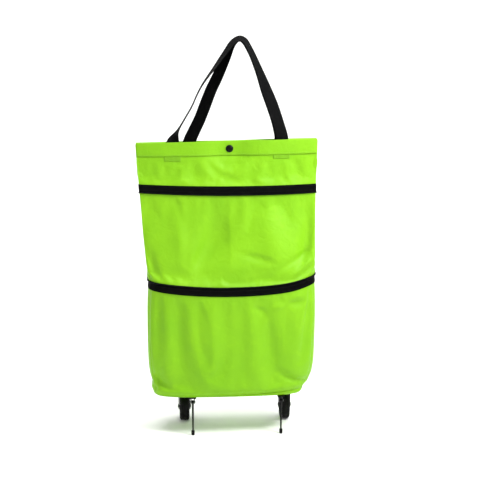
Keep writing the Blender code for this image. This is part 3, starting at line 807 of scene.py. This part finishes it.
def moulded_material(name, main, worn, rough_low, rough_high, depth=0.00012):
    """Moulded plastic or rubber: fine grain, and paler scuffs where it has been rubbed."""
    moulded, tree, shader = new_material(name)
    grain = tree.nodes.new("ShaderNodeGroup")
    grain.node_tree = grain_group
    tree.links.new(blend_colours(tree, grain.outputs["Scuffs"], main, worn), shader.inputs["Base Color"])
    tree.links.new(spread(tree, grain.outputs["Scuffs"], 0.0, 1.0, rough_low, rough_high),
                   shader.inputs["Roughness"])
    shader.inputs["Specular IOR Level"].default_value = 0.12
    raise_surface(tree, shader, grain.outputs["Height"], depth)
    return moulded


black_plastic = moulded_material("black_moulded_plastic", BLACK, BLACK_WORN, 0.38, 0.58)


def turned_mesh(name, profile, centre, axis, steps=48, closed=False):
    """A turned shape: profile is (distance along the axis, radius) pairs about the centre."""
    axis = Vector(axis).normalized()
    side = axis.orthogonal().normalized()
    other = axis.cross(side)
    shape = bmesh.new()
    rings = []
    for along, radius in profile:
        middle = Vector(centre) + axis * along
        if radius < 1e-6:
            rings.append([shape.verts.new(middle)])
            continue
        rings.append([shape.verts.new(middle + radius * (math.cos(2 * math.pi * k / steps) * side
                                                         + math.sin(2 * math.pi * k / steps) * other))
                      for k in range(steps)])
    pairs = list(zip(rings, rings[1:]))
    if closed:
        pairs.append((rings[-1], rings[0]))
    for low, high in pairs:
        for k in range(steps):
            m = (k + 1) % steps
            corners = [low[k % len(low)], low[m % len(low)], high[m % len(high)], high[k % len(high)]]
            unique = []
            for corner in corners:
                if corner not in unique:
                    unique.append(corner)
            if len(unique) > 2:
                shape.faces.new(unique)
    bmesh.ops.recalc_face_normals(shape, faces=shape.faces[:])
    mesh = bpy.data.meshes.new(name)
    shape.to_mesh(mesh)
    shape.free()
    mesh.shade_smooth()
    mesh.set_sharp_from_angle(angle=math.radians(38))
    return mesh


front_spot, front_face = surface_point(SNAP_X, snap_z, -1)
back_spot, back_face = surface_point(SNAP_X, snap_z, 1)
HEM_FACE = HEM_LIFT + HEM_CLOTH / 2
CAP_PROFILE = ((0.0, 0.0), (0.0, 0.0070), (0.0003, 0.0074), (0.0008, 0.0074), (0.0011, 0.0071),
               (0.0012, 0.0066), (0.00105, 0.0062), (0.0013, 0.0058), (0.0018, 0.0048), (0.00215, 0.0032),
               (0.0023, 0.0016), (0.00235, 0.0))
POST_PROFILE = ((0.0, 0.0), (0.0, 0.0056), (0.0004, 0.0060), (0.0009, 0.0058), (0.0011, 0.0052),
                (0.0012, 0.0030), (0.0008, 0.0026), (0.0008, 0.0))
SOCKET_PROFILE = ((0.0, 0.0058), (0.0009, 0.0058), (0.0013, 0.0052), (0.0018, 0.0040), (0.0018, 0.0026),
                  (0.0004, 0.0026), (0.0004, 0.0034), (0.0, 0.0034))
STUD_PROFILE = ((0.0, 0.0), (0.0, 0.0058), (0.0009, 0.0058), (0.0012, 0.0050), (0.0012, 0.0024),
                (0.0022, 0.0025), (0.0029, 0.0021), (0.0031, 0.0012), (0.0031, 0.0))
snap_pieces = (
    ("snap_cap", CAP_PROFILE, front_spot[1] - HEM_FACE, -1, False),
    ("snap_post", POST_PROFILE, back_spot[1] + HEM_FACE, 1, False),
    ("snap_socket", SOCKET_PROFILE, front_spot[1] + HEM_FACE, 1, True),
    ("snap_stud", STUD_PROFILE, back_spot[1] - HEM_FACE, -1, False),
)
for node, profile, y, way, closed in snap_pieces:
    turned = turned_mesh(f"{node}_moulding", profile, (SNAP_X, y, snap_z), (0, way, 0), closed=closed)
    snap_piece = place_object(f"{node}_moulding", turned, black_plastic)
    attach(snap_piece, "upper_section")
    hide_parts(node)


# ---------- Zip tapes and coils ----------
# The two halves of the zip that joins the lower and upper levels when the bag is made small.
# Each is a woven black tape sewn flat over a seam, with a nylon coil along its free edge.

TAPE_LIFT = 0.0005
TAPE_THICK = 0.0006
COIL_BEND = 0.0035
TAPE_BLACK = (0.0010, 0.0010, 0.0011)
TAPE_EDGE = (0.0024, 0.0024, 0.0026)


def woven_material(name, threads, dark, edge, wear_scale, roughness, gloss, depth):
    """Black woven tape or webbing: paler along its threads, and rougher in places."""
    woven, tree, shader = new_material(name)
    weave = tree.nodes.new("ShaderNodeGroup")
    weave.node_tree = weave_group
    weave.inputs["Threads Per Metre"].default_value = threads
    tree.links.new(blend_colours(tree, weave.outputs["Thread"], dark, edge), shader.inputs["Base Color"])
    wear = noise(tree, object_place(tree), wear_scale, 4.0, 0.6)
    tree.links.new(spread(tree, wear, 0.3, 0.7, *roughness), shader.inputs["Roughness"])
    shader.inputs["Specular IOR Level"].default_value = gloss
    raise_surface(tree, shader, weave.outputs["Height"], depth)
    return woven


tape_material = woven_material("woven_zip_tape", 1700.0, TAPE_BLACK, TAPE_EDGE, 220.0, (0.62, 0.85),
                               0.03, 0.00025)
coil_material = moulded_material("nylon_coil", (0.0030, 0.0030, 0.0034), (0.009, 0.009, 0.010),
                                 0.30, 0.45, 0.00005)
tape_thread = moulded_material("black_thread", (0.0045, 0.0045, 0.005), (0.010, 0.010, 0.011),
                               0.5, 0.65, 0.00005)

COIL_PITCH = 0.00145
COIL_HIGH = 0.00115
COIL_DEEP = 0.00085
WIRE = 0.00032
POINTS_PER_TURN = 9
COIL_INSET = 0.0010
SEAM_PLACES = (0.18, 0.62)


def coil_mesh(name, line, out):
    """A nylon coil wound along a closed line: wire of four sides, flattened turns."""
    lengths = np.linalg.norm(np.roll(line, -1, 0) - line, axis=1)
    reached = np.concatenate(((0.0,), np.cumsum(lengths)))
    ring = np.vstack((line, line[:1]))
    ring_out = np.vstack((out, out[:1]))
    turns = round(reached[-1] / COIL_PITCH)
    count = turns * POINTS_PER_TURN
    at = np.linspace(0.0, reached[-1], count + 1)[:-1]
    middle = np.column_stack([np.interp(at, reached, ring[:, k]) for k in range(3)])
    away = np.column_stack([np.interp(at, reached, ring_out[:, k]) for k in range(3)])
    away /= np.linalg.norm(away, axis=1, keepdims=True)
    angle = 2 * math.pi * np.arange(count) / POINTS_PER_TURN
    up = np.array((0.0, 0.0, 1.0))
    centre = middle + COIL_DEEP * np.cos(angle)[:, None] * away + COIL_HIGH * np.sin(angle)[:, None] * up
    spoke = np.cos(angle)[:, None] * away + np.sin(angle)[:, None] * up
    run = np.roll(centre, -1, 0) - np.roll(centre, 1, 0)
    run /= np.linalg.norm(run, axis=1, keepdims=True)
    side = np.cross(run, spoke)
    side /= np.linalg.norm(side, axis=1, keepdims=True)
    rings = np.stack([centre + WIRE * (math.cos(t) * spoke + math.sin(t) * side)
                      for t in (math.pi / 4, 3 * math.pi / 4, 5 * math.pi / 4, 7 * math.pi / 4)], axis=1)
    faces = [tuple(corner % (4 * count) for corner in face) for face in tube_faces(count + 1, 4)]
    return smooth_mesh(name, rings, faces)


for word, first_row, coil_end, body in (("lower", low_tape_row, TAPE_ROWS, "bag"),
                                        ("upper", high_tape_row, 0, "upper_section")):
    rows = walls[first_row:first_row + TAPE_ROWS + 1]
    out = wall_out[first_row:first_row + TAPE_ROWS + 1]
    strip = rows + out * (TAPE_LIFT + TAPE_THICK / 2)
    tape = place_object(f"{word}_zip_tape_woven", grid_mesh(f"{word}_zip_tape_woven", strip, closed=True),
                        tape_material)
    finish_mesh(thicken(subdivide(tape), TAPE_THICK, 0.0))
    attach(tape, body)
    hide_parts(f"{word}_zip_tape")
    coil_row = rows[coil_end] + out[coil_end] * (TAPE_LIFT + TAPE_THICK + COIL_DEEP + WIRE)
    coil_row = round_off(coil_row, COIL_BEND)
    coil_row[:, 2] += COIL_INSET if coil_end == 0 else -COIL_INSET
    wound = coil_mesh(f"{word}_zip_coil_wound", coil_row, out[coil_end])
    coil = place_object(f"{word}_zip_coil_wound", wound, coil_material)
    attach(coil, body)
    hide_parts(f"{word}_zip_coil")
    seam_lines = []
    for share in SEAM_PLACES:
        place = share if coil_end else 1.0 - share
        index = first_row + int(place * TAPE_ROWS)
        part_way = place * TAPE_ROWS - int(place * TAPE_ROWS)
        seam_lines.append((row_line(index, TAPE_LIFT + TAPE_THICK, part_way), out_of_row(index)))
    sewn = stitch_mesh(f"{word}_zip_tape_stitches", seam_lines, TAPE_STITCH)
    tape_stitches = place_object(f"{word}_zip_tape_stitches", sewn, tape_thread)
    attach(tape_stitches, body)


# ---------- Carrying straps ----------
# Two loops of 25 mm black webbing. Their ends are sewn flat inside the hem, and the loops rise
# to a peak where they lie on each other, each turning its edge to the front as it goes.

WEBBING_WIDTH = 0.0250
WEBBING_THICK = 0.0014
RIB_PITCH = 0.0024
RIB_HIGH = 0.00014
WEBBING_COLUMNS = 13

webbing_material = woven_material("black_webbing", 900.0, TAPE_BLACK, (0.0030, 0.0030, 0.0033), 300.0,
                                  (0.50, 0.78), 0.04, 0.0003)

# x, y, z and twist in degrees along each strap, from its left sewn end to its right one
BACK_WEBBING = (
    (-0.0925, 0.0068, 0.5480, 0), (-0.0925, 0.0068, 0.5620, 0), (-0.0920, 0.0068, 0.5740, 4),
    (-0.0892, 0.0066, 0.5860, 12), (-0.0800, 0.0060, 0.6060, 22), (-0.0690, 0.0052, 0.6290, 26),
    (-0.0580, 0.0045, 0.6570, 26), (-0.0472, 0.0038, 0.6845, 30), (-0.0346, 0.0030, 0.7105, 34),
    (-0.0181, 0.0022, 0.7475, 44), (-0.0085, 0.0015, 0.7690, 56), (0.0005, 0.0010, 0.7805, 64),
    (0.0090, 0.0010, 0.7838, 66), (0.0175, 0.0014, 0.7790, 64), (0.0250, 0.0020, 0.7680, 62),
    (0.0350, 0.0026, 0.7480, 60), (0.0475, 0.0032, 0.7180, 52), (0.0605, 0.0042, 0.6840, 34),
    (0.0708, 0.0050, 0.6580, 26), (0.0785, 0.0056, 0.6360, 26), (0.0845, 0.0061, 0.6160, 24),
    (0.0895, 0.0066, 0.5960, 14), (0.0905, 0.0068, 0.5820, 4), (0.0900, 0.0068, 0.5660, 0),
    (0.0900, 0.0068, 0.5480, 0),
)
FRONT_WEBBING = (
    (-0.1235, -0.0066, 0.5480, 0), (-0.1235, -0.0066, 0.5620, 0), (-0.1236, -0.0064, 0.5740, 2),
    (-0.1228, -0.0050, 0.5830, 14), (-0.1200, -0.0020, 0.5910, 42), (-0.1150, -0.0005, 0.6010, 72),
    (-0.1085, -0.0010, 0.6130, 85), (-0.0969, -0.0030, 0.6330, 87), (-0.0848, -0.0042, 0.6540, 87),
    (-0.0757, -0.0036, 0.6740, 87),
    (-0.0660, -0.0030, 0.6926, 86), (-0.0550, -0.0026, 0.7090, 84), (-0.0430, -0.0022, 0.7250, 80),
    (-0.0270, -0.0018, 0.7470, 74), (-0.0110, -0.0014, 0.7690, 69), (0.0000, -0.0012, 0.7805, 67),
    (0.0100, -0.0010, 0.7848, 66), (0.0195, -0.0006, 0.7800, 64), (0.0270, 0.0000, 0.7680, 62),
    (0.0368, -0.0004, 0.7480, 60), (0.0493, -0.0012, 0.7180, 52), (0.0620, -0.0026, 0.6840, 34),
    (0.0722, -0.0038, 0.6580, 26), (0.0800, -0.0047, 0.6360, 26), (0.0862, -0.0055, 0.6160, 24),
    (0.0915, -0.0062, 0.5960, 14), (0.0925, -0.0066, 0.5820, 4), (0.0915, -0.0066, 0.5660, 0),
    (0.0905, -0.0066, 0.5480, 0),
)


def smooth_path(points, step):
    """A Catmull-Rom curve through the points, sampled at even steps of its length."""
    points = np.array(points, float)
    padded = np.vstack((2 * points[0] - points[1], points, 2 * points[-1] - points[-2]))
    dense = []
    for i in range(1, len(padded) - 2):
        a, b, c, d = padded[i - 1:i + 3]
        for t in np.linspace(0.0, 1.0, 25)[:-1]:
            dense.append(0.5 * (2 * b + (c - a) * t + (2 * a - 5 * b + 4 * c - d) * t ** 2
                                + (3 * b - a - 3 * c + d) * t ** 3))
    dense = np.array(dense + [points[-1]])
    reached = np.concatenate(((0.0,), np.cumsum(np.linalg.norm(np.diff(dense[:, :3], axis=0), axis=1))))
    count = round(reached[-1] / step)
    at = np.linspace(0.0, reached[-1], count + 1)
    return at, np.column_stack([np.interp(at, reached, dense[:, k]) for k in range(dense.shape[1])])


def turn_faces_out(mesh):
    shape = bmesh.new()
    shape.from_mesh(mesh)
    bmesh.ops.recalc_face_normals(shape, faces=shape.faces[:])
    shape.to_mesh(mesh)
    shape.free()


def webbing_mesh(name, route):
    """A ribbon of ribbed webbing along a route, twisted as the route says."""
    at, path = smooth_path(route, RIB_PITCH / 5)
    centre, twist = path[:, :3], np.radians(path[:, 3])
    run = np.gradient(centre, axis=0)
    run /= np.linalg.norm(run, axis=1, keepdims=True)
    flat = np.column_stack((-run[:, 2], np.zeros(len(run)), run[:, 0]))
    flat /= np.linalg.norm(flat, axis=1, keepdims=True)
    back = np.array((0.0, 1.0, 0.0))
    wide = np.cos(twist)[:, None] * flat + np.sin(twist)[:, None] * back
    wide -= (wide * run).sum(1)[:, None] * run
    wide /= np.linalg.norm(wide, axis=1, keepdims=True)
    face = np.cross(run, wide)
    top, bottom = [], []
    for share in np.linspace(-1.0, 1.0, WEBBING_COLUMNS):
        edge = math.sqrt(max(0.0, 1.0 - abs(share) ** 8))
        rib = RIB_HIGH * np.sin(2 * math.pi * (at + abs(share) * WEBBING_WIDTH * 0.20) / RIB_PITCH)
        height = (WEBBING_THICK / 2 - RIB_HIGH) * (0.35 + 0.65 * edge) + rib * (0.2 + 0.8 * edge)
        middle = centre + wide * share * WEBBING_WIDTH / 2
        top.append(middle + face * height[:, None])
        bottom.append(middle - face * height[:, None])
    rings = np.stack(top + bottom[::-1], axis=1)
    count = rings.shape[1]
    faces = tube_faces(rings.shape[0], count)
    last = (rings.shape[0] - 1) * count
    half = count // 2
    for k in range(half - 1):
        faces.append((k, count - 1 - k, count - 2 - k, k + 1))
        faces.append((last + k, last + k + 1, last + count - 2 - k, last + count - 1 - k))
    mesh = smooth_mesh(name, rings, faces)
    turn_faces_out(mesh)
    return mesh


for word, route in (("front", FRONT_WEBBING), ("back", BACK_WEBBING)):
    woven = webbing_mesh(f"{word}_strap_webbing", route)
    strap = place_object(f"{word}_strap_webbing", woven, webbing_material)
    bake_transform(strap)
    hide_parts(f"{word}_strap", f"{word}_strap_left_end", f"{word}_strap_right_end")


# ---------- Base ----------
# The bottom of the bag: a panel of the lime cloth sewn to the walls, with a loose stiff board
# on it inside, and rivets through both for the wheel and leg brackets.

# How far out each ring of the panel lies, and how much of the way down from the wall's edge
BASE_RINGS = ((0.985, 0.55), (0.955, 0.9), (0.90, 1.0), (0.75, 1.0), (0.5, 1.0), (0.25, 1.0), (0.05, 1.0))
base_edge = shell[0]
base_centre = base_edge.mean(0)
base_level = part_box("base_panel")[0].z + CLOTH_THICKNESS
rings = [base_edge]
for share, drop in BASE_RINGS:
    ring = base_centre + (base_edge - base_centre) * share
    ring[:, 2] = base_edge[:, 2] + (base_level - base_edge[:, 2]) * drop
    rings.append(ring)
base_grid = np.array(rings[::-1])
base_faces = tube_faces(len(base_grid), columns) + [tuple(range(columns))[::-1]]
base_cloth = place_object("base_cloth", smooth_mesh("base_cloth", base_grid, base_faces), lime_cloth)
turn_faces_out(base_cloth.data)
finish_mesh(thicken(base_cloth, CLOTH_THICKNESS, 0.0))
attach(base_cloth, "bag")
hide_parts("base_panel")

BOARD_INSET = 0.0120
BOARD_CORNER = 0.004
BOARD_EASE = 0.0005
board_low, board_high = (corner.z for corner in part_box("base_board"))
board_row = shell[1] - wall_out[1] * BOARD_INSET
board_outline = round_off(board_row[:, :2], BOARD_CORNER)
board_mesh = bmesh.new()
board_mesh.faces.new([board_mesh.verts.new((x, y, board_high)) for x, y in board_outline])
board_material = moulded_material("grey_board", (0.16, 0.16, 0.155), (0.24, 0.235, 0.22), 0.7, 0.85, 0.0002)
board = place_object("base_board_cut", bpy.data.meshes.new("base_board_cut"), board_material)
board_mesh.to_mesh(board.data)
board_mesh.free()
thicken(board, board_high - board_low)
board_edge = board.modifiers.new("eased_edge", "BEVEL")
board_edge.width = BOARD_EASE
board_edge.segments = 2
finish_mesh(board)
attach(board, "bag")
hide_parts("base_board")


# ---------- Wheels, forks and legs ----------
# Black moulded brackets riveted under the base. Each wheel turns on a steel axle in a fork that
# folds up about a pin, and each front leg is a thin rod with a rubber foot that folds back.

steel_material, steel_tree, steel_shader = new_material("zinc_plated_steel")
steel_place = object_place(steel_tree)
steel_bloom = noise(steel_tree, steel_place, 160.0, 5.0, 0.6)
steel_tree.links.new(blend_colours(steel_tree, steel_bloom, (0.20, 0.205, 0.215), (0.32, 0.325, 0.33)),
                     steel_shader.inputs["Base Color"])
steel_tree.links.new(spread(steel_tree, steel_bloom, 0.3, 0.7, 0.28, 0.48), steel_shader.inputs["Roughness"])
steel_shader.inputs["Metallic"].default_value = 1.0
raise_surface(steel_tree, steel_shader, noise(steel_tree, steel_place, 1500.0, 2.0), 0.00004)

RUBBER = (0.0045, 0.0045, 0.0045)
rubber_material = moulded_material("tyre_rubber", RUBBER, (0.020, 0.019, 0.018), 0.62, 0.85, 0.00018)
foot_material = moulded_material("foot_rubber", RUBBER, (0.016, 0.015, 0.014), 0.6, 0.8, 0.00015)

MOULDED_EASE = 0.00035
ROD_EASE = 0.0002
PIN_EASE = 0.00025


def eased_copy(node, body, material, ease=MOULDED_EASE):
    """The same piece with its edges eased, as a moulding or a pressing has."""
    shape = bmesh.new()
    shape.from_mesh(bpy.data.objects[node].data)
    bmesh.ops.remove_doubles(shape, verts=shape.verts[:], dist=0.00001)
    bmesh.ops.dissolve_limit(shape, angle_limit=math.radians(2.0), verts=shape.verts[:], edges=shape.edges[:])
    mesh = bpy.data.meshes.new(f"{node}_eased")
    shape.to_mesh(mesh)
    shape.free()
    mesh.materials.clear()
    piece = place_object(f"{node}_eased", mesh, material)
    bevel = piece.modifiers.new("eased_edges", "BEVEL")
    bevel.width = ease
    bevel.segments = 2
    bevel.limit_method = "ANGLE"
    bevel.angle_limit = math.radians(35)
    finish_mesh(piece)
    piece.data.shade_smooth()
    piece.data.set_sharp_from_angle(angle=math.radians(40))
    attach(piece, body)
    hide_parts(node)


for hand in ("left", "right"):
    eased_copy(f"{hand}_wheel_bracket", "bag", black_plastic)
    eased_copy(f"{hand}_leg_bracket", "bag", black_plastic)
    eased_copy(f"{hand}_fork", f"{hand}_fork", black_plastic)
    eased_copy(f"{hand}_wheel_rim", f"{hand}_wheel", black_plastic)
    eased_copy(f"{hand}_leg", f"{hand}_leg", black_plastic, ROD_EASE)
    eased_copy(f"{hand}_foot", f"{hand}_leg", foot_material)
    for pin, body in (("wheel_hinge_pin", "bag"), ("leg_pin", "bag"), ("axle", f"{hand}_fork")):
        eased_copy(f"{hand}_{pin}", body, steel_material, PIN_EASE)
for number in range(1, 7):
    eased_copy(f"base_rivet_{number}", "bag", steel_material, PIN_EASE)

TREAD_GROOVE = 0.0008
GROOVE_PLACES = (-0.0036, 0.0036)
TYRE_DEEP = 0.0060
TYRE_STEPS = 96
# From the tyre's side up over its shoulder: how far in from the side, and below the tread
SHOULDER = ((0.0, 0.0042), (0.0006, 0.0022), (0.0018, 0.0007), (0.0034, 0.0))
for hand in ("left", "right"):
    low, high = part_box(f"{hand}_tyre")
    centre = (low + high) / 2
    radius = (high.z - low.z) / 2
    half = (high.x - low.x) / 2
    inner = radius - TYRE_DEEP
    side = [(-half, inner + 0.0006)] + [(-half + inset, radius - drop) for inset, drop in SHOULDER]
    profile = list(side)
    for groove in GROOVE_PLACES:
        profile += [(groove - 0.0009, radius), (groove - 0.0005, radius - TREAD_GROOVE),
                    (groove + 0.0005, radius - TREAD_GROOVE), (groove + 0.0009, radius)]
    profile += [(-along, out) for along, out in reversed(side)]
    profile += [(half - 0.0008, inner), (-half + 0.0008, inner)]
    turned = turned_mesh(f"{hand}_tyre_moulded", profile, centre, (1, 0, 0), TYRE_STEPS, closed=True)
    tyre = place_object(f"{hand}_tyre_moulded", turned, rubber_material)
    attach(tyre, f"{hand}_wheel")
    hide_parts(f"{hand}_tyre")


# ---------- Zip slider and pull ----------
# The slider rests open on the back of the lower coil, with its small pressed-steel pull.

SLIDER_EASE = 0.0003
eased_copy("zip_slider", "zip_slider", steel_material, SLIDER_EASE)
eased_copy("zip_pull", "zip_pull", steel_material, ROD_EASE)
